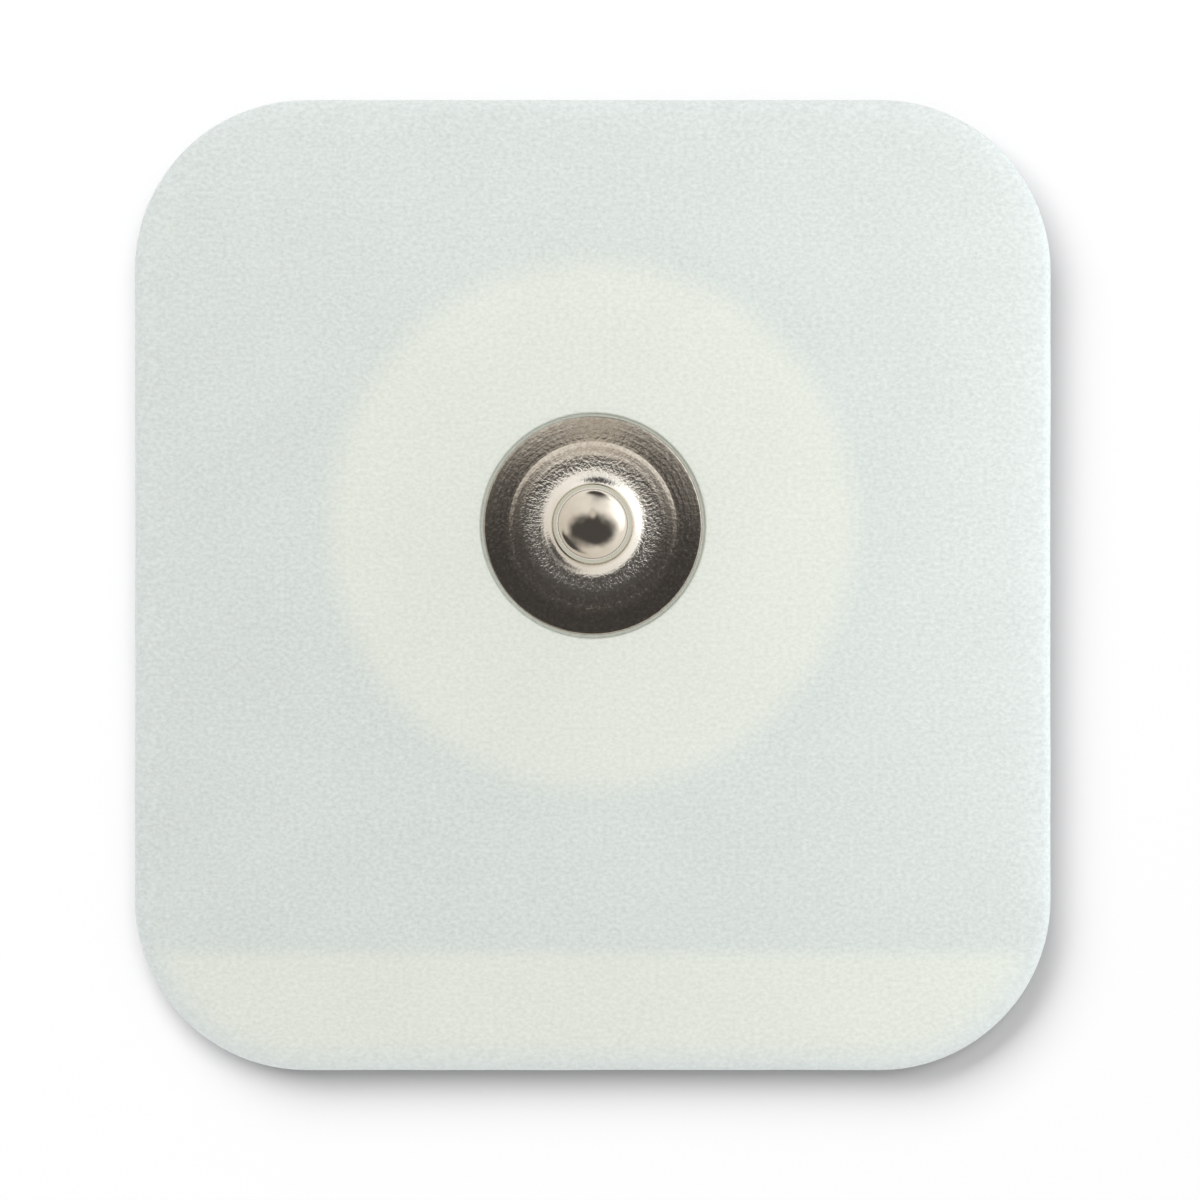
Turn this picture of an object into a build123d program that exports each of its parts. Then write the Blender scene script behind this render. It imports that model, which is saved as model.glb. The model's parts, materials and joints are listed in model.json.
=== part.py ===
from build123d import *

import os
from math import acos, asin, cos, degrees, radians, sin, tan

# A disposable snap electrode that picks up the heart's signal from the skin.
# A die-cut foam pad carries a press stud. A sensor eyelet under the foam reaches up through it and is
# clinched inside the hollow stud. Gel fills a well round the eyelet, and an adhesive coat covers the
# rest of the underside, apart from the bare pull tab.
# Millimetres. Z = 0 is the skin, +Z points away from it, the stud's axis is X = Y = 0, and the pull
# tab is on the -Y side.

# Foam pad
pad_width = 44.5
pad_length = 41.4  # the part that sticks, with the stud in the middle of it
tab_length = 5.75
pad_corner_radius = 8.3
foam_thickness = 1.5
foam_edge_radius = 0.45

# Underside
adhesive_thickness = 0.1
gel_diameter = 25.4
gel_thickness = 0.6

# Sensor eyelet
eyelet_inset = 0.25  # its edge lies a little inside the stud's, with the foam pinched between them
eyelet_thickness = 0.35
eyelet_edge_radius = 0.12

# Press stud, sizes on its outside
stud_wall = 0.3
flange_diameter = 10.6
head_diameter = 3.9
undercut = 0.45
crown_radius = 3.2
shoulder_radius = 1.0
head_band = 0.35  # straight side of the head, which a lead's socket grips
under_head_radius = 0.5
throat_radius = 0.2
neck_length = 0.1
base_share = 0.385  # of the foot, from neck to flange edge: where the curve down from the neck ends
boss_share = 0.67  # where the boss ends, which curves down from there to the rim
boss_turn = 14  # degrees that the boss curves down by
bend_radius = 0.3
rim_slope = 5.5  # degrees: the rim is dished, so its edge lies lower and bites into the foam
rim_round = 0.15  # the flange's top edge, rolled over where the die cuts the sheet

# Fits
flange_sink = 0.2  # how deep the flange presses into the foam
dent_slope = 0.6
fit_gap = 0.05  # round the gel, the eyelet and its post
tip_gap = 1.0  # empty part of the stud's head, above the clinched post

# Heights and lengths that follow from the sizes
foam_length = pad_length + tab_length
foam_top = adhesive_thickness + foam_thickness
seat_height = foam_top - flange_sink
flange_radius = flange_diameter / 2
neck_radius = head_diameter / 2 - undercut
foot_width = flange_radius - neck_radius
base_radius = base_share * foot_width
base_axis = neck_radius + base_radius
boss_radius = (neck_radius + boss_share * foot_width - base_axis) / sin(radians(boss_turn))
bend_axis = base_axis + (boss_radius + bend_radius) * sin(radians(boss_turn))
rim_rise = tan(radians(rim_slope))
rim_depth = 1 / cos(radians(rim_slope))  # depth straight down for each millimetre across the sheet
bend_height = seat_height + (flange_radius - bend_axis) * rim_rise + (stud_wall + bend_radius) * rim_depth
boss_centre = bend_height - (boss_radius + bend_radius) * cos(radians(boss_turn))
boss_top = boss_centre + boss_radius
neck_bottom = boss_top + base_radius
neck_top = neck_bottom + neck_length
undercut_angle = degrees(acos(1 - undercut / (under_head_radius + throat_radius)))
head_bottom = neck_top + (under_head_radius + throat_radius) * sin(radians(undercut_angle))
head_top = head_bottom + head_band
shoulder_axis = head_diameter / 2 - shoulder_radius
crown_angle = degrees(asin(shoulder_axis / (crown_radius - shoulder_radius)))
crown_centre = head_top - (crown_radius - shoulder_radius) * cos(radians(crown_angle))
stud_top = crown_centre + crown_radius
eyelet_diameter = flange_diameter - 2 * eyelet_inset
post_radius = neck_radius - stud_wall - fit_gap


def spun(lines):
    """A solid turned about the stud's axis from a closed outline in radius and height."""
    return revolve(Plane.XZ * make_face(lines), Axis.Z)


def disc(diameter, bottom, top):
    """A round plate on the stud's axis between two heights."""
    return Pos(0, 0, bottom) * extrude(Circle(diameter / 2), top - bottom)


def pad_outline():
    """The die-cut outline of the pad, tab included."""
    return Pos(0, -tab_length / 2) * RectangleRounded(pad_width, foam_length, pad_corner_radius)


def head_line(inset):
    """The stud's head and neck from crown to neck bottom, or a line that lies deeper by the inset."""
    crown = CenterArc((0, crown_centre), crown_radius - inset, 90, -crown_angle)
    shoulder_turn = crown_angle - 90
    shoulder = CenterArc((shoulder_axis, head_top), shoulder_radius - inset, -shoulder_turn, shoulder_turn)
    side_radius = head_diameter / 2 - inset
    side = Line((side_radius, head_top), (side_radius, head_bottom))
    under_axis = head_diameter / 2 - under_head_radius
    under = CenterArc((under_axis, head_bottom), under_head_radius - inset, 0, -undercut_angle)
    throat_axis = neck_radius + throat_radius
    throat = CenterArc((throat_axis, neck_top), throat_radius + inset, 180 - undercut_angle, undercut_angle)
    neck = Line((neck_radius - inset, neck_top), (neck_radius - inset, neck_bottom))
    return [crown, shoulder, side, under, throat, neck]


def rim_level(radius, inset):
    """The height of the rim's top at a radius, or of a surface that lies deeper by the inset."""
    return seat_height + (flange_radius - radius) * rim_rise + (stud_wall - inset) * rim_depth


def flange_line(inset, end):
    """The stud's foot from neck bottom to where the rim ends, or a line that lies deeper by the inset."""
    base = CenterArc((base_axis, neck_bottom), base_radius + inset, 180, 90)
    boss = CenterArc((base_axis, boss_centre), boss_radius - inset, 90, -boss_turn)
    bend = CenterArc((bend_axis, bend_height), bend_radius + inset, 270 - boss_turn, boss_turn - rim_slope)
    rim = Line(bend @ 1, (end, rim_level(end, inset)))
    return [base, boss, bend, rim]


def make_snap_stud():
    roll_axis = flange_radius - rim_round
    roll = CenterArc((roll_axis, rim_level(roll_axis, rim_round)), rim_round, 90 - rim_slope, rim_slope - 90)
    outside = head_line(0) + flange_line(0, (roll @ 0).X)
    inside = head_line(stud_wall) + flange_line(stud_wall, flange_radius)
    crown_cut = Line((0, stud_top), (0, stud_top - stud_wall))
    cut_edge = Line(roll @ 1, (flange_radius, seat_height))
    return spun(outside + inside + [crown_cut, roll, cut_edge])


def make_sensor_eyelet():
    back = gel_thickness
    flange = disc(eyelet_diameter, back - eyelet_thickness, back)
    flange = fillet(flange.edges().sort_by(Axis.Z)[0], eyelet_edge_radius)
    post = disc(2 * post_radius, back, neck_bottom)
    inset = stud_wall + fit_gap
    core = head_line(inset) + [
        Line((post_radius, neck_bottom), (0, neck_bottom)),
        Line((0, neck_bottom), (0, stud_top - inset)),
    ]
    clinched = spun(core) & disc(head_diameter, neck_bottom, stud_top - stud_wall - tip_gap)
    return flange + post + clinched


def flange_dent():
    """The foam that the stud's dished flange presses away, with a soft slope round it."""
    edge = flange_radius + fit_gap
    pinched = bend_axis - (bend_radius + stud_wall) * sin(radians(rim_slope))
    pinched_height = rim_level(pinched, stud_wall)
    middle = (edge + dent_slope / 2, seat_height + flange_sink / 2)
    foot = TangentArc((edge, seat_height), middle, tangent=(1, 0))
    lip = TangentArc((edge + dent_slope, foam_top), middle, tangent=(-1, 0))
    closed = Polyline(
        (edge, seat_height),
        (flange_radius, seat_height),
        (pinched, pinched_height),
        (0, pinched_height),
        (0, boss_top),
        (edge + dent_slope, boss_top),
        (edge + dent_slope, foam_top),
    )
    return spun([foot, lip, closed])


def make_foam_pad():
    foam = Pos(0, 0, adhesive_thickness) * extrude(pad_outline(), foam_thickness)
    foam = fillet(foam.faces().sort_by(Axis.Z)[-1].edges(), foam_edge_radius)
    well = disc(gel_diameter, adhesive_thickness, gel_thickness)
    post_hole = disc(2 * (post_radius + fit_gap), gel_thickness, foam_top)
    return foam - well - post_hole - flange_dent()


def make_adhesive_coat():
    sticking_area = pad_outline() & Rectangle(pad_width, pad_length)
    return extrude(sticking_area - Circle(gel_diameter / 2), adhesive_thickness)


def make_gel_disc():
    gel = disc(gel_diameter - 2 * fit_gap, 0, gel_thickness)
    pocket = disc(eyelet_diameter + 2 * fit_gap, gel_thickness - eyelet_thickness, gel_thickness)
    return gel - pocket


pieces = {
    "foam_pad": make_foam_pad(),
    "adhesive_coat": make_adhesive_coat(),
    "gel_disc": make_gel_disc(),
    "sensor_eyelet": make_sensor_eyelet(),
    "snap_stud": make_snap_stud(),
}

os.makedirs("parts", exist_ok=True)
for name, piece in pieces.items():
    export_step(piece, f"parts/{name}.step")
    box = piece.bounding_box().size
    print(f"{name}: {box.X:.2f} x {box.Y:.2f} x {box.Z:.2f} mm, {piece.volume:.1f} mm3")
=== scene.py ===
# %% [markdown]
# # A snap electrode
# The object is a disposable electrode for reading the heart: a soft foam pad with a metal press stud, gel
# and adhesive underneath and a bare pull tab. The CAD part gives every size. This lesson dresses it: pieces
# that need a finer or softer surface are remade with mesh operators, and every piece gets a material made of
# nodes. The CAD box is measured first, and the floor is later set just below it. The CAD box is kept first,
# because the finished pieces have to stay inside it.

import json
import math

import bmesh
import bpy
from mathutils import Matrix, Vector, noise


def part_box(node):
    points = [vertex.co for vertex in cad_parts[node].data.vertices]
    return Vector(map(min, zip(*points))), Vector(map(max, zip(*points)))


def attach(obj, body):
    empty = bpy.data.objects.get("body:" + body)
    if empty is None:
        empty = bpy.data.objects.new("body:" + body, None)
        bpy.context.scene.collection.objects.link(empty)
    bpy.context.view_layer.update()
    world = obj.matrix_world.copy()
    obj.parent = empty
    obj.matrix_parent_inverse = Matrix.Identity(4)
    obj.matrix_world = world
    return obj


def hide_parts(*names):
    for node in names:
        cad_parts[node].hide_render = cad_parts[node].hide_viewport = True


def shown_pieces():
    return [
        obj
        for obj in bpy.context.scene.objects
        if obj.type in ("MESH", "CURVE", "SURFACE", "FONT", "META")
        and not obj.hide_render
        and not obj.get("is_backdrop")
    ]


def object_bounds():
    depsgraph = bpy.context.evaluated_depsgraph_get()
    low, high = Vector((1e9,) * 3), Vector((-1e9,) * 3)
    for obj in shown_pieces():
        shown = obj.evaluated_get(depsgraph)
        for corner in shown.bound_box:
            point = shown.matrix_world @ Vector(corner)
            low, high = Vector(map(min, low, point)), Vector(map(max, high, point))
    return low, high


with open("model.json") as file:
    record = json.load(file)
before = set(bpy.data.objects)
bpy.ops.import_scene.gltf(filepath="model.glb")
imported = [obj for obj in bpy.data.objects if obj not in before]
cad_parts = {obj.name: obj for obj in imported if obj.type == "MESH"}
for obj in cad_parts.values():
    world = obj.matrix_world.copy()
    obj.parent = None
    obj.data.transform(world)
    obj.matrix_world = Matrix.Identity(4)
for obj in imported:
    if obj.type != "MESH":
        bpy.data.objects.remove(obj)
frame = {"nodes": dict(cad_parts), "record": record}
cad_low, cad_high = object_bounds()
mm = 0.001
print("CAD box in mm:", [round(size / mm, 2) for size in cad_high - cad_low])

# %% [markdown]
# ## The press stud
# The stud is drawn from thin sheet: a domed head, an undercut neck that a lead's socket grips, and a dished
# flange that pinches the foam. It is round all over, so one line and a full spin make it. The CAD mesh would
# do, but its flat facets show as broken reflections on bright metal, so the line is drawn again with more
# steps. The flange, the heights and the head come from the frame, and the bends are those of the drawn sheet.

# %% Sizes of the stud
stud_low, stud_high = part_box("snap_stud")
snap_head = next(m for m in frame["record"]["mounts"] if m["name"] == "snap_head")
head_radius = snap_head["dims"]["r_mm"] * mm
head_band = snap_head["dims"]["length_mm"] * mm
head_bottom = snap_head["pos_m"][2] - head_band / 2
head_top = snap_head["pos_m"][2] + head_band / 2
flange_radius = (stud_high.x - stud_low.x) / 2
stud_top = stud_high.z
seat_height = stud_low.z
sheet_thickness = 0.3 * mm
undercut = 0.45 * mm
neck_radius = head_radius - undercut
print(f"head {2 * head_radius / mm:.1f} mm, flange {2 * flange_radius / mm:.1f} mm")

# %% [markdown]
# The foot runs from the neck to the flange's edge. It curves out from the neck until it is level, bends down
# over a low boss and ends in the rim. Two shares of its width say where the curve and the boss end.

# %% Sizes of the foot
base_share = 0.385
boss_share = 0.67
foot_width = flange_radius - neck_radius
base_radius = base_share * foot_width
base_axis = neck_radius + base_radius
boss_end = neck_radius + boss_share * foot_width
print(f"foot {foot_width / mm:.2f} mm wide, boss out to {boss_end / mm:.2f} mm")

# %% [markdown]
# A line in a bmesh is drawn like one with a pen. Extruding a vertex draws a straight stretch, and spinning a
# vertex about a centre draws an arc. The line lies in the plane of X and Z, with X as the radius.

# %% Pen for profile lines
def pen_at(shape, radius, height):
    return shape.verts.new((radius, 0, height))


def draw_straight(shape, pen, radius, height):
    tip = bmesh.ops.extrude_vert_indiv(shape, verts=[pen])["verts"][0]
    tip.co = (radius, 0, height)
    return tip


def draw_arc(shape, pen, centre_radius, centre_height, turn, steps):
    """Turns the pen about a centre. A positive turn goes outwards from the top."""
    drawn = bmesh.ops.spin(
        shape,
        geom=[pen],
        cent=(centre_radius, 0, centre_height),
        axis=(0, 1, 0),
        angle=turn,
        steps=steps,
    )
    return next(g for g in drawn["geom_last"] if isinstance(g, bmesh.types.BMVert))


# %% [markdown]
# The sheet has an outside and an inside, so the same line is drawn twice, the second time deeper by the
# sheet's thickness: bends that bulge get tighter by it, and hollow ones get wider.

# %% Heights of the foot
quarter = math.pi / 2
boss_turn = math.radians(14)
rim_slope = math.radians(5.5)
bend_radius = 0.3 * mm
boss_radius = (boss_end - base_axis) / math.sin(boss_turn)
bend_axis = base_axis + (boss_radius + bend_radius) * math.sin(boss_turn)


def rim_level(radius, inset):
    """The height of the dished rim's top, or of a surface that lies deeper by the inset."""
    rise = (flange_radius - radius) * math.tan(rim_slope)
    return seat_height + rise + (sheet_thickness - inset) / math.cos(rim_slope)


bend_height = rim_level(bend_axis, -bend_radius)
boss_centre = bend_height - (boss_radius + bend_radius) * math.cos(boss_turn)
boss_top = boss_centre + boss_radius
neck_bottom = boss_top + base_radius
print(f"boss {boss_top / mm:.2f} mm, rim {rim_level(flange_radius, 0) / mm:.2f} mm high")

# %% Head and neck
crown_radius = 3.2 * mm
shoulder_radius = 1.0 * mm
under_head_radius = 0.5 * mm
throat_radius = 0.2 * mm
crown_turn = math.asin((head_radius - shoulder_radius) / (crown_radius - shoulder_radius))
undercut_turn = math.acos(1 - (head_radius - neck_radius) / (under_head_radius + throat_radius))
neck_top = head_bottom - (under_head_radius + throat_radius) * math.sin(undercut_turn)
print(f"neck {neck_bottom / mm:.2f} to {neck_top / mm:.2f} mm high")


def draw_head(shape, inset):
    pen = pen_at(shape, 0, stud_top - inset)
    pen = draw_arc(shape, pen, 0, stud_top - crown_radius, crown_turn, steps=14)
    pen = draw_arc(shape, pen, head_radius - shoulder_radius, head_top, quarter - crown_turn, steps=12)
    pen = draw_straight(shape, pen, head_radius - inset, head_bottom)
    pen = draw_arc(shape, pen, head_radius - under_head_radius, head_bottom, undercut_turn, steps=7)
    pen = draw_arc(shape, pen, neck_radius + throat_radius, neck_top, -undercut_turn, steps=7)
    pen = draw_straight(shape, pen, neck_radius - inset, neck_bottom)
    return draw_arc(shape, pen, base_axis, neck_bottom, -quarter, steps=20)


# %% Boss and rim
def draw_brim(shape, pen, inset, edge):
    pen = draw_arc(shape, pen, base_axis, boss_centre, boss_turn, steps=12)
    pen = draw_arc(shape, pen, bend_axis, bend_height, rim_slope - boss_turn, steps=6)
    return draw_straight(shape, pen, edge, rim_level(edge, inset))


# %% [markdown]
# The die that cuts the sheet rolls its upper edge over, so the rim ends in a quarter turn. A full spin leaves
# a seam and a heap of vertices on the axis, so doubles are merged and the normals are worked out again.

# %% Draw the stud's line
rim_roll = 0.1 * mm
roll_axis = flange_radius - rim_roll
roll_start = roll_axis + rim_roll * math.sin(rim_slope)

stud = bmesh.new()
outside = draw_brim(stud, draw_head(stud, 0), 0, roll_start)
roll_height = rim_level(roll_axis, rim_roll)
outside = draw_arc(stud, outside, roll_axis, roll_height, quarter - rim_slope, steps=6)
inside = draw_brim(stud, draw_head(stud, sheet_thickness), sheet_thickness, flange_radius)
bmesh.ops.contextual_create(stud, geom=[outside, inside])
print("points in the stud's line:", len(stud.verts))

# %% Spin the stud
around = 160
merge_distance = 0.001 * mm


def spin_full(shape, steps):
    """Turns a drawn line once round the stud's axis and closes the seam."""
    bmesh.ops.spin(
        shape,
        geom=shape.verts[:] + shape.edges[:],
        cent=(0, 0, 0),
        axis=(0, 0, 1),
        angle=2 * math.pi,
        steps=steps,
        use_merge=True,
    )
    bmesh.ops.remove_doubles(shape, verts=shape.verts, dist=merge_distance)


spin_full(stud, around)
bmesh.ops.recalc_face_normals(stud, faces=stud.faces)
print("stud is closed:", all(edge.is_manifold for edge in stud.edges))


# %% Turn a shape into a piece
def finish_piece(shape, name, node):
    """Makes an object of a shape that stands for a CAD node and rides on the one body."""
    mesh = bpy.data.meshes.new(name)
    shape.to_mesh(mesh)
    shape.free()
    mesh.shade_smooth()
    piece = bpy.data.objects.new(name, mesh)
    bpy.context.scene.collection.objects.link(piece)
    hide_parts(node)
    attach(piece, "root")
    print(f"{name}: {len(mesh.polygons)} faces")
    return piece


stud_piece = finish_piece(stud, "press_stud", "snap_stud")

# %% [markdown]
# ## The foam pad
# The pad is cut from foam sheet with a die, so its outline is crisp and its top edge is softly rounded. The
# stud's flange pinches a dent into it. A plain extrusion has one big face on top that can't dip, so the pad
# is made from two shapes that meet: a shell that follows the outline, and a turned middle with the dent,
# the hole for the post and the well for the gel. Both have the same number of points round them, so bridges
# join them.

# %% Sizes of the pad
pad_low, pad_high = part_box("foam_pad")
corner_radius = 8.3 * mm
edge_radius = 0.45 * mm
droop_width = 1.9 * mm
pad_middle = (pad_low + pad_high) / 2
pad_size = pad_high - pad_low
print("pad in mm:", [round(size / mm, 2) for size in pad_size])

# %% Outline shell of the pad
corner_steps = 24
side_cuts = 40

pad = bmesh.new()
bmesh.ops.create_grid(pad, x_segments=1, y_segments=1, size=0.5)
bmesh.ops.scale(pad, vec=(pad_size.x, pad_size.y, 1), verts=pad.verts)
bmesh.ops.translate(pad, vec=(pad_middle.x, pad_middle.y, pad_low.z), verts=pad.verts)
bmesh.ops.bevel(
    pad,
    geom=pad.verts[:],
    offset=corner_radius,
    affect="VERTICES",
    segments=corner_steps,
    profile=0.5,
    material=-1,
)
sides = [edge for edge in pad.edges if edge.calc_length() > corner_radius]
bmesh.ops.subdivide_edges(pad, edges=sides, cuts=side_cuts)
ring_steps = len(pad.verts)
print("points round the outline:", ring_steps)

# %% Rounded top edge of the shell
raised = bmesh.ops.extrude_face_region(pad, geom=pad.faces[:])["geom"]
raised_verts = [g for g in raised if isinstance(g, bmesh.types.BMVert)]
bmesh.ops.translate(pad, vec=(0, 0, pad_size.z), verts=raised_verts)


def level_edges(shape, height):
    """The edges that lie level at a height."""
    return [e for e in shape.edges if all(abs(v.co.z - height) < merge_distance for v in e.verts)]


bmesh.ops.bevel(
    pad,
    geom=level_edges(pad, pad_high.z),
    offset=edge_radius,
    affect="EDGES",
    segments=8,
    profile=0.5,
    material=-1,
)
print("faces of the shell:", len(pad.faces))

# %% [markdown]
# Two big faces still close the shell. The upper one is inset first, so that the top has rows of points along
# the outline that can droop. Then both faces go.

# %% Rows along the outline
caps = [face for face in pad.faces if len(face.verts) > 4]
top_cap = max(caps, key=lambda face: face.calc_center_median().z)
border = bmesh.ops.inset_region(pad, faces=[top_cap], thickness=droop_width)["faces"]
shared = [edge for face in border for edge in face.edges if len(edge.link_faces) == 2]
across_border = [e for e in shared if all(f in border for f in e.link_faces)]
bmesh.ops.subdivide_edges(pad, edges=list(set(across_border)), cuts=6, use_grid_fill=True)
bmesh.ops.delete(pad, geom=caps, context="FACES_ONLY")
open_edges = [edge for edge in pad.edges if edge.is_boundary]
print("open edges of the shell:", len(open_edges), "for", 2 * ring_steps)

# %% [markdown]
# The middle is one line again: up the wall of the gel's well, in to the post, up through the foam, out under
# the flange, and up the soft slope of the dent. Its first and last rings stay open for the bridges. A bridge
# follows the way the faces beside it are wound, so the normals are worked out once it is closed, not before.

# %% Sizes of the middle
gel_low, gel_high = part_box("gel_disc")
fit_gap = 0.05 * mm
gel_radius = (gel_high.x - gel_low.x) / 2
well_radius = gel_radius + fit_gap
post_hole_radius = neck_radius - sheet_thickness
pinched_radius = bend_axis - (bend_radius + sheet_thickness) * math.sin(rim_slope)
pinched_height = rim_level(pinched_radius, sheet_thickness)
dent_depth = pad_high.z - seat_height
dent_foot = flange_radius + fit_gap
dent_slope = 0.2 * mm
dent_bend = (dent_slope**2 + dent_depth**2) / (4 * dent_depth)
dent_turn = 2 * math.atan2(dent_depth, dent_slope)
level_ring = 0.4 * mm
print(f"dent {dent_depth / mm:.2f} mm deep, well {2 * well_radius / mm:.1f} mm across")

# %% Turned middle of the pad
middle = bmesh.new()
pen = pen_at(middle, well_radius, pad_low.z)
pen = draw_straight(middle, pen, well_radius, gel_high.z)
pen = draw_straight(middle, pen, post_hole_radius, gel_high.z)
pen = draw_straight(middle, pen, post_hole_radius, pinched_height)
pen = draw_straight(middle, pen, pinched_radius, pinched_height)
pen = draw_straight(middle, pen, flange_radius, seat_height)
pen = draw_straight(middle, pen, dent_foot, seat_height)
pen = draw_arc(middle, pen, dent_foot, seat_height + dent_bend, -dent_turn, steps=8)
pen = draw_arc(middle, pen, dent_foot + dent_slope, pad_high.z - dent_bend, dent_turn, steps=8)
pen = draw_straight(middle, pen, pen.co.x + level_ring, pad_high.z)
spin_full(middle, ring_steps)
print("rings in the middle:", len(middle.verts) // ring_steps)

# %% Join the shell and the middle
middle_mesh = bpy.data.meshes.new("pad_middle")
middle.to_mesh(middle_mesh)
middle.free()
pad.from_mesh(middle_mesh)
bpy.data.meshes.remove(middle_mesh)

top_rings = [e for e in level_edges(pad, pad_high.z) if e.is_boundary]
bottom_rings = [e for e in level_edges(pad, pad_low.z) if e.is_boundary]
for rings in (top_rings, bottom_rings):
    bridge = bmesh.ops.bridge_loops(pad, edges=rings)
    across = [e for e in bridge["edges"] if e not in rings]
    bmesh.ops.subdivide_edges(pad, edges=across, cuts=12, use_grid_fill=True)
bmesh.ops.recalc_face_normals(pad, faces=pad.faces)
print("pad is closed:", all(edge.is_manifold for edge in pad.edges))

# %% [markdown]
# The die squeezes the foam down as it cuts, so the top droops a little towards the outline. Foam sheet is
# also never quite flat, and its cut edge is a little uneven. Blender's own noise moves each point by a few
# hundredths of a millimetre. Every move goes inwards, so the pad keeps its size.

# %% Measures of the uneven foam
droop_depth = 0.12 * mm
swell_size = 9 * mm
swell_depth = 0.03 * mm
swell_start = dent_foot + dent_slope
swell_reach = 3 * mm
nick_size = 2.5 * mm
nick_depth = 0.04 * mm


def depth_inside(place):
    """How far a point lies inside the pad's outline."""
    past_x = abs(place.x - pad_middle.x) - (pad_size.x / 2 - corner_radius)
    past_y = abs(place.y - pad_middle.y) - (pad_size.y / 2 - corner_radius)
    corner = Vector((max(past_x, 0), max(past_y, 0))).length
    return corner_radius - corner - min(max(past_x, past_y), 0)


def uneven(place, size):
    """A share from 0 to 1 that changes over about the given size."""
    return 0.5 + 0.5 * noise.noise(place / size)


print(f"middle of the pad lies {depth_inside(pad_middle) / mm:.1f} mm inside its outline")

# %% Drooping and uneven foam
for vert in pad.verts:
    place = vert.co.copy()
    depth = depth_inside(place)
    if place.z > pad_high.z - edge_radius - merge_distance and place.xy.length > swell_start:
        swell_share = min((place.xy.length - swell_start) / swell_reach, 1)
        vert.co.z -= droop_depth * max(1 - depth / (droop_width + edge_radius), 0) ** 2
        vert.co.z -= swell_share * swell_depth * uneven(place, swell_size)
    if depth < edge_radius:
        inward = (pad_middle.xy - place.xy).normalized().to_3d()
        vert.co += inward * nick_depth * uneven(place, nick_size)

pad_piece = finish_piece(pad, "foam_backing", "foam_pad")

# %% [markdown]
# ## The gel
# The gel is a soft wet disc with a rounded edge, set into the well under the foam, with the sensor pressed
# into its back. The CAD solid has sharp corners, so the disc is turned again from a line with a rounded one.

# %% Gel disc
eyelet_low, eyelet_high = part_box("sensor_eyelet")
pocket_radius = (eyelet_high.x - eyelet_low.x) / 2 + fit_gap
gel_edge = 0.2 * mm

gel = bmesh.new()
pen = pen_at(gel, 0, eyelet_low.z)
pen = draw_straight(gel, pen, pocket_radius, eyelet_low.z)
pen = draw_straight(gel, pen, pocket_radius, gel_high.z)
pen = draw_straight(gel, pen, gel_radius, gel_high.z)
pen = draw_straight(gel, pen, gel_radius, gel_low.z + gel_edge)
pen = draw_arc(gel, pen, gel_radius - gel_edge, gel_low.z + gel_edge, quarter, steps=8)
pen = draw_straight(gel, pen, 0, gel_low.z)
spin_full(gel, around)
bmesh.ops.recalc_face_normals(gel, faces=gel.faces)
gel_piece = finish_piece(gel, "gel_pad", "gel_disc")

# %% [markdown]
# ## Materials
# Every finish here is made of nodes that read Object coordinates, in metres, with the stud's axis at the
# middle. Small helpers add a node, fill its inputs with values or with links, and give back its result.

# %% Node helper
def put(tree, kind, inputs=None, **settings):
    made = tree.nodes.new("ShaderNode" + kind)
    for key, value in settings.items():
        setattr(made, key, value)
    for key, value in (inputs or {}).items():
        if isinstance(value, bpy.types.NodeSocket):
            tree.links.new(value, made.inputs[key])
        else:
            made.inputs[key].default_value = value
    return made


def maths(tree, operation, *values):
    """The result of a Math node."""
    return put(tree, "Math", dict(enumerate(values)), operation=operation).outputs[0]


def vector_maths(tree, operation, *vectors):
    """The result of a Vector Math node that gives a vector."""
    return put(tree, "VectorMath", dict(enumerate(vectors)), operation=operation).outputs[0]


def length_of(tree, vector):
    return put(tree, "VectorMath", {0: vector}, operation="LENGTH").outputs["Value"]


def scaled(tree, vector, factor):
    """A vector or a colour times a number."""
    return put(tree, "VectorMath", {0: vector, "Scale": factor}, operation="SCALE").outputs[0]


# %% Ranges, blends and noise
def spread(tree, value, low, high):
    """Goes evenly from 0 at the low value to 1 at the high one."""
    return put(tree, "MapRange", {"Value": value, "From Min": low, "From Max": high}).outputs[0]


def between(tree, share, first, second):
    """Goes from the first number to the second as the share goes from 0 to 1."""
    return put(tree, "MapRange", {"Value": share, "To Min": first, "To Max": second}).outputs[0]


def fade_out(tree, value, start, end):
    """Goes softly from 1 at the start to 0 at the end."""
    fade = {"Value": value, "From Min": start, "From Max": end, "To Min": 1.0, "To Max": 0.0}
    return put(tree, "MapRange", fade, interpolation_type="SMOOTHSTEP").outputs[0]


def blend(tree, share, first, second):
    """Goes from the first colour to the second as the share goes from 0 to 1."""
    return put(tree, "Mix", {0: share, 6: first, 7: second}, data_type="RGBA").outputs[2]


def noise_on(tree, place, scale, detail, roughness=0.5):
    """Blender's noise texture, which lies about 0.5."""
    settings = {"Vector": place, "Scale": scale, "Detail": detail, "Roughness": roughness}
    return put(tree, "TexNoise", settings).outputs[0]


# %% New material
def new_material(name):
    """A material with an empty Principled shader, and the place on the object in millimetres."""
    material = bpy.data.materials.new(name)
    material.use_nodes = True
    tree = material.node_tree
    shader = tree.nodes["Principled BSDF"]
    place = put(tree, "TexCoord").outputs["Object"]
    place_mm = scaled(tree, place, 1 / mm)
    return material, tree, shader, place_mm


def srgb(red, green, blue):
    """A colour as a picture program gives it, from 0 to 255, turned into Blender's linear light."""
    parts = [value / 255 for value in (red, green, blue)]
    linear = [p / 12.92 if p <= 0.04045 else ((p + 0.055) / 1.055) ** 2.4 for p in parts]
    return (*linear, 1.0)


print("middle grey in linear light:", [round(part, 3) for part in srgb(128, 128, 128)])

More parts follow.
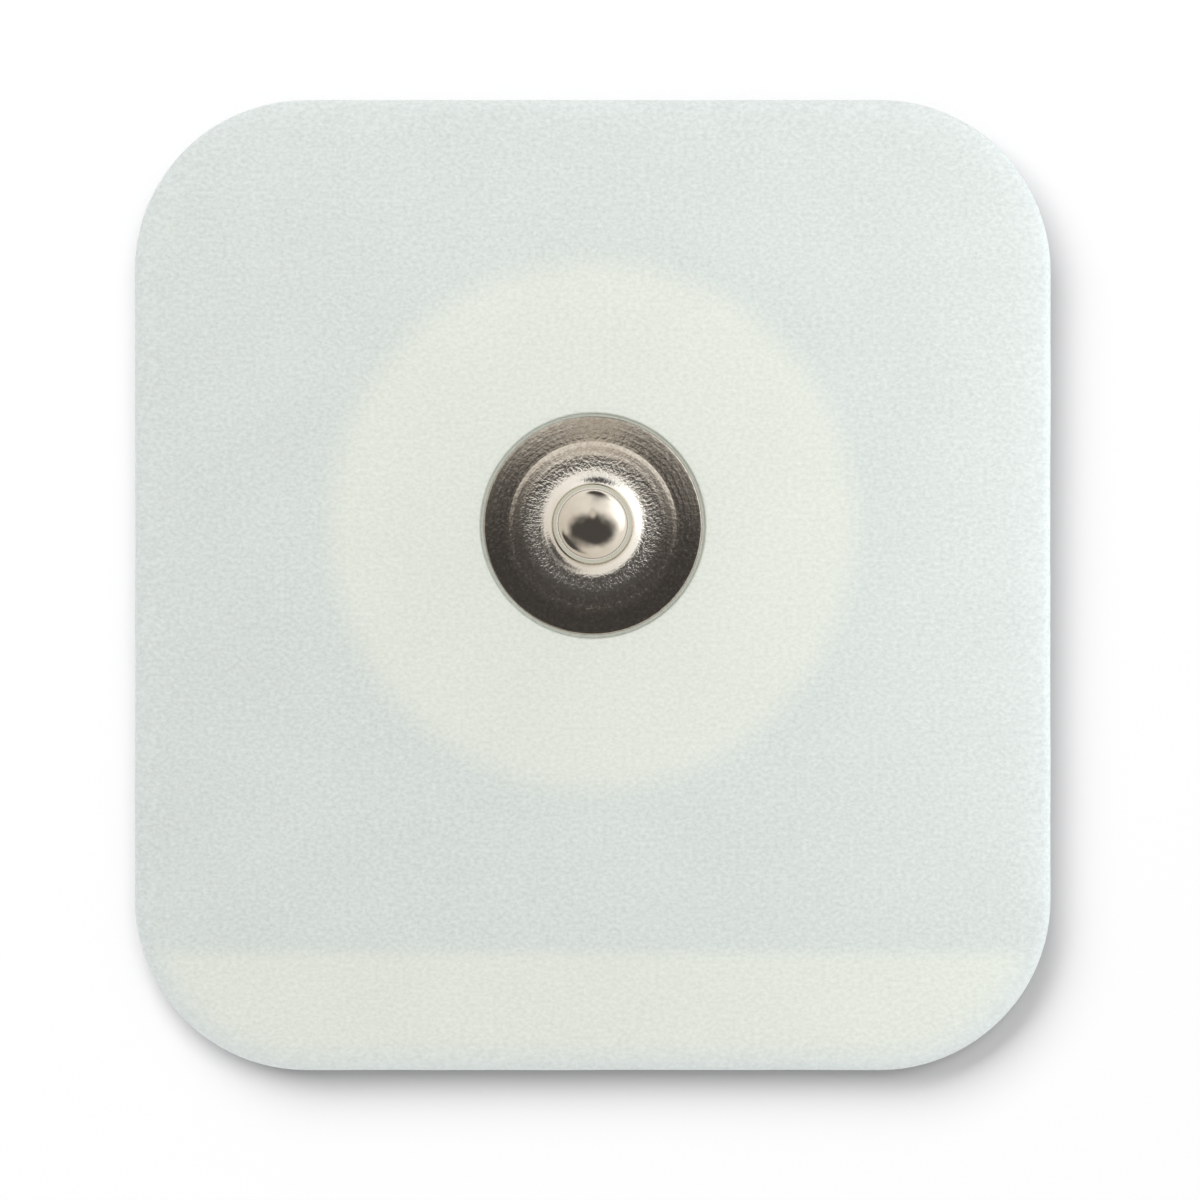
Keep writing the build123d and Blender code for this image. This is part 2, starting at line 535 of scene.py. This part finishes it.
# %% [markdown]
# Two effects are used by several finishes, so each is a node group. The first marks a round area about the
# stud's axis with a soft edge: what lies under the foam shows through it that way, and the stud's bright head
# ends that way too. The second is a fine cell grain, for foam, gel and coatings.

# %% Soft round area
flat_share = (1, 1, 0)


def make_soft_disc_group():
    group = bpy.data.node_groups.new("soft_disc", "ShaderNodeTree")
    group.interface.new_socket("Place", in_out="INPUT", socket_type="NodeSocketVector")
    group.interface.new_socket("Radius", in_out="INPUT", socket_type="NodeSocketFloat")
    group.interface.new_socket("Softness", in_out="INPUT", socket_type="NodeSocketFloat")
    group.interface.new_socket("Inside", in_out="OUTPUT", socket_type="NodeSocketFloat")
    given = group.nodes.new("NodeGroupInput").outputs
    radius = length_of(group, vector_maths(group, "MULTIPLY", given["Place"], flat_share))
    inner = maths(group, "SUBTRACT", given["Radius"], given["Softness"])
    outer = maths(group, "ADD", given["Radius"], given["Softness"])
    inside = fade_out(group, radius, inner, outer)
    result = group.nodes.new("NodeGroupOutput")
    group.links.new(inside, result.inputs["Inside"])
    return group


soft_disc = make_soft_disc_group()
print("group made:", soft_disc.name)

# %% Fine cell grain
patch_share = 0.15
speckle_share = 0.85
patches_per_mm = 0.2


def make_cell_grain_group():
    group = bpy.data.node_groups.new("cell_grain", "ShaderNodeTree")
    group.interface.new_socket("Place", in_out="INPUT", socket_type="NodeSocketVector")
    group.interface.new_socket("Cells per mm", in_out="INPUT", socket_type="NodeSocketFloat")
    group.interface.new_socket("Height", in_out="OUTPUT", socket_type="NodeSocketFloat")
    group.interface.new_socket("Mottle", in_out="OUTPUT", socket_type="NodeSocketFloat")
    given = group.nodes.new("NodeGroupInput").outputs
    speckle = noise_on(group, given["Place"], given["Cells per mm"], detail=2.0, roughness=0.6)
    patches = noise_on(group, given["Place"], patches_per_mm, detail=2.0)
    patches = maths(group, "MULTIPLY", patches, patch_share)
    mottle = maths(group, "MULTIPLY_ADD", speckle, speckle_share, patches)
    result = group.nodes.new("NodeGroupOutput")
    group.links.new(speckle, result.inputs["Height"])
    group.links.new(mottle, result.inputs["Mottle"])
    return group


cell_grain = make_cell_grain_group()
print("group made:", cell_grain.name)


# %% Place the groups
def put_group(tree, group, inputs):
    """Places a node group and gives back its outputs."""
    return put(tree, "Group", inputs, node_tree=group).outputs


def inside_disc(tree, place_mm, radius, softness):
    """A mask that is 1 inside a soft-edged disc about the stud's axis, in millimetres."""
    disc = {"Place": place_mm, "Radius": radius, "Softness": softness}
    return put_group(tree, soft_disc, disc)["Inside"]


def cell_bump(tree, grain, depth):
    """A bump from the height of the grain's cells, with their depth."""
    return put(tree, "Bump", {"Height": grain["Height"], "Strength": 0.3, "Distance": depth}).outputs[0]


# %% [markdown]
# ### Foam
# White foam looks cool and greenish where adhesive backs it, and creamy where it is bare: over the gel, and
# along the pull tab. The foam blurs what lies under it, so both borders are soft. Near the outline, light
# gets in from the side and the cream fades. Fine closed cells mottle the colour and roughen the surface.
# The sheet is drawn out as it is rolled, so the cells are a little longer along X, and they show less where
# the foam is bare.

# %% Foam colour
backed_colour = srgb(219, 225, 220)
bare_colour = srgb(229, 233, 223)
edge_colour = srgb(221, 227, 224)
gel_blur = 0.95
tab_blur = 0.5
tab_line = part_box("adhesive_coat")[0].y / mm

foam_material, tree, shader, place_mm = new_material("foam")
over_gel = inside_disc(tree, place_mm, well_radius / mm, gel_blur)
along = put(tree, "SeparateXYZ", {0: place_mm}).outputs["Y"]
on_tab = fade_out(tree, along, tab_line - tab_blur, tab_line + tab_blur)
bare = maths(tree, "MAXIMUM", over_gel, on_tab)
body_colour = blend(tree, bare, backed_colour, bare_colour)
print(f"pull tab beyond Y = {tab_line:.2f} mm")

# %% [markdown]
# How near a point is to the rounded outline is found as for any rounded rectangle: fold the pad into one
# quarter, take off the straight half of each side, and measure what is left from the corner's centre. The
# height is of no use here, so a large number takes it below zero.

# %% Foam near the outline
fade_width = 1.8
no_height = 99
corner_mm = corner_radius / mm
straight_half = (pad_size.xy / 2 - Vector((corner_radius, corner_radius))) / mm

centred = vector_maths(tree, "SUBTRACT", place_mm, pad_middle / mm)
centred = vector_maths(tree, "ABSOLUTE", centred)
past = vector_maths(tree, "SUBTRACT", centred, (*straight_half, no_height))
past_corner = vector_maths(tree, "MAXIMUM", past, (0, 0, 0))
reach = length_of(tree, past_corner)
rim_fade = {"Value": reach, "From Min": corner_mm - fade_width, "From Max": corner_mm}
near_outline = put(tree, "MapRange", rim_fade, interpolation_type="SMOOTHSTEP").outputs[0]
body_colour = blend(tree, near_outline, body_colour, edge_colour)
print("straight half sides in mm:", [round(half, 2) for half in straight_half])

# %% Foam grain
foam_stretch = (0.87, 1.15, 1.0)
foam_cells = 5.0
cell_depth = 0.05 * mm
backed_mottle = 0.5
bare_mottle = 0.37

stretched = vector_maths(tree, "MULTIPLY", place_mm, foam_stretch)
grain = put_group(tree, cell_grain, {"Place": stretched, "Cells per mm": foam_cells})
strength = between(tree, bare, backed_mottle, bare_mottle)
shade = maths(tree, "SUBTRACT", grain["Mottle"], 0.5)
shade = maths(tree, "MULTIPLY_ADD", shade, strength, 1.0)
mottled = scaled(tree, body_colour, shade)
bump = cell_bump(tree, grain, cell_depth)
tree.links.new(mottled, shader.inputs["Base Color"])
tree.links.new(bump, shader.inputs["Normal"])
shader.inputs["Roughness"].default_value = 0.65
shader.inputs["Specular IOR Level"].default_value = 0.25
pad_piece.data.materials.append(foam_material)
print("foam nodes:", len(tree.nodes))

# %% [markdown]
# ### Nickel
# The head is polished by the die that draws it. The foot that flares out below it is paler and gets a grain
# that runs out from the axis, deepest where the sheet bends level. The brim is shiny with faint drawn rings,
# and its rim has painted shade: its colour is made a little darker. The grain's noise reads the direction
# from the axis and the radius, so its specks follow the radius and no seam shows.

# %% Nickel grain
spokes_scale = 22.0
grains_per_mm = 5.5
rings_per_mm = 4.0

nickel_material, tree, shader, place_mm = new_material("nickel_plate")
flat = vector_maths(tree, "MULTIPLY", place_mm, flat_share)
outward = vector_maths(tree, "NORMALIZE", flat)
radius = length_of(tree, flat)
spokes = scaled(tree, outward, spokes_scale)
rise = maths(tree, "MULTIPLY", radius, grains_per_mm)
rise = put(tree, "CombineXYZ", {"Z": rise}).outputs[0]
drawn = vector_maths(tree, "ADD", spokes, rise)
streaks = noise_on(tree, drawn, scale=1.0, detail=2.0, roughness=0.6)
ring_noise = {"W": radius, "Scale": rings_per_mm, "Detail": 1.0}
rings = put(tree, "TexNoise", ring_noise, noise_dimensions="1D").outputs[0]

# %% Zones of the nickel, in millimetres from the axis
head_reach = 1.02 * head_radius / mm
smooth_reach = 2.55
grain_reach = 1.12 * base_axis / mm
boss_reach = boss_end / mm + 0.2

on_head = inside_disc(tree, place_mm, head_reach, softness=0.1)
off_head = maths(tree, "SUBTRACT", 1.0, on_head)
on_smooth = inside_disc(tree, place_mm, smooth_reach, softness=0.3)
on_flare = inside_disc(tree, place_mm, grain_reach, softness=0.4)
on_grain = maths(tree, "SUBTRACT", on_flare, on_smooth)
pale = maths(tree, "SUBTRACT", on_flare, on_head)
on_boss = inside_disc(tree, place_mm, boss_reach, softness=0.25)
print(f"head to {head_reach:.2f}, grain to {grain_reach:.2f}, boss to {boss_reach:.2f} mm")

# %% Nickel bumps, in millimetres
brim_grain = 0.01
flare_grain = 0.045
ring_depth = 0.006

grain_height = between(tree, on_grain, brim_grain, flare_grain)
grain_height = maths(tree, "MULTIPLY", grain_height, streaks)
height = maths(tree, "MULTIPLY_ADD", rings, ring_depth, grain_height)
height = maths(tree, "MULTIPLY", height, off_head)
bump = put(tree, "Bump", {"Height": height, "Strength": 1.0, "Distance": mm}).outputs[0]
tree.links.new(bump, shader.inputs["Normal"])

# %% Nickel colour
nickel_colour = (0.7, 0.65, 0.57, 1.0)
dull_nickel = (0.56, 0.51, 0.44, 1.0)
pale_nickel = (0.84, 0.81, 0.75, 1.0)
# The share of the nickel colour that the rim's painted shade leaves
rim_painted_shade = 0.78

tone = spread(tree, streaks, 0.35, 0.65)
tone = maths(tree, "MULTIPLY", tone, off_head)
colour = blend(tree, tone, nickel_colour, dull_nickel)
# Painted shade: outside the boss, the rim's nickel colour is darkened
shade = between(tree, on_boss, rim_painted_shade, 1.0)
colour = scaled(tree, colour, shade)
tree.links.new(blend(tree, pale, colour, pale_nickel), shader.inputs["Base Color"])

# %% Nickel gloss
head_roughness = 0.1
brim_roughness = 0.12
speck_roughness = 0.26
specks_per_mm = 8.0

speck_range = {
    "Value": noise_on(tree, place_mm, specks_per_mm, detail=1.0),
    "From Min": 0.5,
    "From Max": 0.7,
    "To Min": brim_roughness,
    "To Max": speck_roughness,
}
roughness = put(tree, "MapRange", speck_range).outputs[0]
roughness = put(tree, "Mix", {0: on_head, 2: roughness, 3: head_roughness}).outputs[0]
tree.links.new(roughness, shader.inputs["Roughness"])
shader.inputs["Metallic"].default_value = 1.0
stud_piece.data.materials.append(nickel_material)
print("nickel nodes:", len(tree.nodes))

# %% [markdown]
# ### Underside
# The gel is wet and slightly straw-coloured, and the sensor in it shows through as a blurred grey disc. The
# adhesive is a clear tacky film with fine ripples, and the sensor is plastic with a dull grey coat. Those two
# stay CAD nodes, because their shape is right, with a material of their own.

# %% Helpers for the underside
def speckled_material(name, light, dark, cells, roughness, depth):
    """A finish that goes from dark to light with the cell grain."""
    material, tree, shader, place_mm = new_material(name)
    grain = put_group(tree, cell_grain, {"Place": place_mm, "Cells per mm": cells})
    share = spread(tree, grain["Mottle"], 0.35, 0.65)
    tree.links.new(blend(tree, share, dark, light), shader.inputs["Base Color"])
    tree.links.new(cell_bump(tree, grain, depth), shader.inputs["Normal"])
    shader.inputs["Roughness"].default_value = roughness
    return material, tree, shader, place_mm


def dress_node(node, material):
    """Gives a CAD node's object one material in place of those it came with."""
    materials = frame["nodes"][node].data.materials
    materials.clear()
    materials.append(material)
    print(node, "gets", material.name)


# %% Sensor and adhesive materials
sensor_light = srgb(150, 147, 143)
sensor_dark = srgb(118, 115, 112)
sensor_finish = {"cells": 5.0, "roughness": 0.6, "depth": 0.01 * mm}
sensor_material = speckled_material("sensor_coating", sensor_light, sensor_dark, **sensor_finish)[0]
dress_node("sensor_eyelet", sensor_material)

adhesive_light = srgb(226, 231, 228)
adhesive_dark = srgb(214, 220, 216)
adhesive_finish = {"cells": 2.5, "roughness": 0.3, "depth": 0.02 * mm}
adhesive_material = speckled_material("adhesive", adhesive_light, adhesive_dark, **adhesive_finish)[0]
dress_node("adhesive_coat", adhesive_material)

# %% Gel material
gel_light = srgb(236, 234, 214)
gel_dark = srgb(224, 222, 200)
gel_finish = {"cells": 1.5, "roughness": 0.12, "depth": 0.02 * mm}
sensor_blur = 0.5
sensor_share = 0.45

gel_material, tree, shader, place_mm = speckled_material("gel", gel_light, gel_dark, **gel_finish)
over_sensor = inside_disc(tree, place_mm, pocket_radius / mm, sensor_blur)
seen_sensor = maths(tree, "MULTIPLY", over_sensor, sensor_share)
gel_colour = shader.inputs["Base Color"].links[0].from_socket
tree.links.new(blend(tree, seen_sensor, gel_colour, sensor_light), shader.inputs["Base Color"])
shader.inputs["Subsurface Weight"].default_value = 0.5
shader.inputs["Subsurface Scale"].default_value = 0.6 * mm
shader.inputs["Coat Weight"].default_value = 0.5
gel_piece.data.materials.append(gel_material)
print("materials:", [m.name for m in bpy.data.materials])

# %% [markdown]
# ## Studio
# The photograph looks straight down on a white ground. The floor takes the shadow as any surface does. Its
# lamps, further on, and a little light of its own bring it up to white for the camera and for the metal.

# %% Floor
floor_half_width = 1.5
floor_drop = 0.02 * mm

floor_shape = bmesh.new()
bmesh.ops.create_grid(floor_shape, x_segments=1, y_segments=1, size=floor_half_width)
bmesh.ops.translate(floor_shape, vec=(0, 0, cad_low.z - floor_drop), verts=floor_shape.verts)
floor_mesh = bpy.data.meshes.new("floor")
floor_shape.to_mesh(floor_mesh)
floor_shape.free()
floor = bpy.data.objects.new("floor", floor_mesh)
bpy.context.scene.collection.objects.link(floor)
floor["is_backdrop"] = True
print(f"floor {2 * floor_half_width:.0f} m wide, {floor_drop / mm:.2f} mm below the part")

# %% Floor material
floor_colour = (0.37, 0.37, 0.373, 1.0)
floor_glow = 0.03
white = (1.0, 1.0, 1.0, 1.0)

floor_material, tree, shader, _ = new_material("white_floor")
shader.inputs["Base Color"].default_value = floor_colour
shader.inputs["Roughness"].default_value = 1.0
shader.inputs["Specular IOR Level"].default_value = 0.0
rays = put(tree, "LightPath").outputs
seen = maths(tree, "ADD", rays["Is Camera Ray"], rays["Is Glossy Ray"])
seen = maths(tree, "ADD", seen, rays["Is Transmission Ray"])
glow = maths(tree, "MULTIPLY", seen, floor_glow)
shader.inputs["Emission Color"].default_value = white
tree.links.new(glow, shader.inputs["Emission Strength"])
floor.data.materials.append(floor_material)
print("floor nodes:", len(tree.nodes))

# %% [markdown]
# The world is the room. Soft even light comes from all round. Bright metal shows the room itself, so rays
# that bounce off it see what stood round the object: warm pale walls, a wide bright window on the right, and
# dark places overhead, far behind and at the lower left. Window and dark places are soft ovals. Their place
# is given in slopes from straight up, to the right and to the back, because level metal seen from above
# mirrors what lies straight above it.

# %% Room
raggedness = 0.9

world = bpy.data.worlds.new("room")
bpy.context.scene.world = world
world.use_nodes = True
tree = world.node_tree
background = tree.nodes["Background"]
direction = put(tree, "TexCoord").outputs["Generated"]
parts = put(tree, "SeparateXYZ", {0: direction}).outputs
up = maths(tree, "MAXIMUM", parts["Z"], 0.001)
side_slope = maths(tree, "DIVIDE", parts["X"], up)
back_slope = maths(tree, "DIVIDE", parts["Y"], up)
ragged = noise_on(tree, direction, scale=2.2, detail=2.0)


def oval_patch(centre_side, centre_back, half_side, half_back, softness):
    """A soft, ragged oval on the ceiling, in slopes from straight up: 1 inside and 0 outside."""
    across = maths(tree, "SUBTRACT", side_slope, centre_side)
    along = maths(tree, "SUBTRACT", back_slope, centre_back)
    across = maths(tree, "DIVIDE", across, half_side)
    along = maths(tree, "DIVIDE", along, half_back)
    distance = length_of(tree, put(tree, "CombineXYZ", {"X": across, "Y": along}).outputs[0])
    distance = maths(tree, "MULTIPLY_ADD", ragged, raggedness, distance)
    distance = maths(tree, "SUBTRACT", distance, raggedness / 2)
    return fade_out(tree, distance, 1 - softness, 1 + softness)


# %% Walls
warm_wall = (0.78, 0.73, 0.66, 1.0)
bright_wall = (1.15, 1.13, 1.1, 1.0)
bright_side = (0.75, 0.65, 0.0)
cloud_share = 1.2

facing = {0: direction, 1: bright_side}
towards = put(tree, "VectorMath", facing, operation="DOT_PRODUCT").outputs["Value"]
clouds = noise_on(tree, direction, scale=2.5, detail=3.0)
wall_share = maths(tree, "MULTIPLY_ADD", clouds, cloud_share, towards)
wall_share = spread(tree, wall_share, -0.2, 1.4)
room = blend(tree, wall_share, warm_wall, bright_wall)

# %% Window and dark places
window_colour = (1.8, 1.8, 1.8, 1.0)
dark_colour = (0.082, 0.077, 0.074, 1.0)
horizon_colour = (0.22, 0.2, 0.18, 1.0)
window_patch = (2.1, 1.1, 1.65, 1.3, 0.25)
overhead_patch = (-0.05, -0.24, 0.84, 0.58, 0.35)
far_patch = (0.3, 2.4, 0.75, 1.4, 0.4)
lower_left_patch = (-1.6, -1.2, 1.1, 0.85, 0.3)
pale_gap = (0.0, 0.38, 0.1, 0.16, 0.5)

room = blend(tree, oval_patch(*window_patch), room, window_colour)
for patch in (overhead_patch, far_patch, lower_left_patch):
    room = blend(tree, oval_patch(*patch), room, dark_colour)
room = blend(tree, oval_patch(*pale_gap), room, warm_wall)
at_horizon = fade_out(tree, parts["Z"], 0.02, 0.14)
room = blend(tree, at_horizon, room, horizon_colour)

# %% What each ray sees
even_light = (0.907, 0.907, 0.907, 1.0)

rays = put(tree, "LightPath").outputs
lit = blend(tree, rays["Is Glossy Ray"], even_light, room)
lit = blend(tree, rays["Is Camera Ray"], lit, white)
tree.links.new(lit, background.inputs["Color"])
print("room nodes:", len(tree.nodes))

# %% [markdown]
# Four lamps finish the light. Two stand close to the pad, one on the right and a weak one behind, so it grows
# brighter towards them. The other two light the floor alone. A strong one at the upper left gives the soft
# shadow at the lower right, and it is wider than it is high, so the shadow reaches round the corners. A weak
# one at the upper right gives the faint shadow along the left edge.

# %% Lamp helper
def add_lamp(name, place, aim, size, power):
    lamp = bpy.data.lights.new(name, "AREA")
    lamp.size = size
    lamp.energy = power
    lamp_object = bpy.data.objects.new(name, lamp)
    bpy.context.scene.collection.objects.link(lamp_object)
    lamp_object.location = place
    lamp_object.rotation_euler = (Vector(aim) - Vector(place)).to_track_quat("-Z", "Y").to_euler()
    lamp_object.visible_glossy = False
    lamp_object.visible_camera = False
    return lamp_object


# %% Lamps for the pad
pad_lamp_size = 0.042

window_lamp = add_lamp("window_lamp", (0.064, 0.003, 0.023), (0.064, 0.003, 0), pad_lamp_size, power=0.0188)
window_lamp.data.color = (0.86, 0.91, 1.0)
back_lamp = add_lamp("back_lamp", (-0.004, 0.0625, 0.0385), (-0.004, 0.0625, 0), pad_lamp_size, power=0.0068)
back_lamp.data.color = (1.0, 0.98, 0.95)

# %% Lamps for the floor
stud_foot = (0, 0, 0)

shadow_lamp = add_lamp("shadow_lamp", (-1.24, 1.68, 1.4), stud_foot, size=2.8, power=181.0)
shadow_lamp.data.shape = "RECTANGLE"
shadow_lamp.data.size_y = 1.3
faint_shadow_lamp = add_lamp("faint_shadow_lamp", (0.5, 0.7, 1.5), stud_foot, size=1.0, power=16.0)

# %% [markdown]
# Light linking says what each lamp lights. The lamps for the pad are blocked by the floor alone, so the stud
# throws no hard shadow on the foam.

# %% Link the lamps
floor_only = bpy.data.collections.new("floor_only")
floor_only.objects.link(floor)
pad_only = bpy.data.collections.new("pad_only")
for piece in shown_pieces():
    pad_only.objects.link(piece)
for lamp in (shadow_lamp, faint_shadow_lamp):
    lamp.light_linking.receiver_collection = floor_only
for lamp in (window_lamp, back_lamp):
    lamp.light_linking.receiver_collection = pad_only
    lamp.light_linking.blocker_collection = floor_only

# %% [markdown]
# The camera looks straight down from about 15 cm, which is near enough for the stud's head to lean a little
# out of its flange, as it does in the photograph. The frame is 1200 pixels square.

# %% Camera
frame_pixels = 1200
pixel_size = 0.0484 * mm
stud_pixel = Vector((592.8, 525.6))
camera_height = 150 * mm

centre_pixel = Vector((frame_pixels / 2, frame_pixels / 2))
look_x = (centre_pixel.x - stud_pixel.x) * pixel_size
look_y = (stud_pixel.y - centre_pixel.y) * pixel_size
lens = bpy.data.cameras.new("camera")
lens.sensor_width = 36
lens.lens = lens.sensor_width * camera_height / (frame_pixels * pixel_size)
lens.clip_start = 1 * mm
camera = bpy.data.objects.new("camera", lens)
bpy.context.scene.collection.objects.link(camera)
camera.location = (look_x, look_y, pad_high.z + camera_height)
bpy.context.scene.camera = camera
bpy.context.scene.view_settings.view_transform = "Standard"
print(f"camera {camera_height / mm:.0f} mm above the pad, lens {lens.lens:.0f} mm")
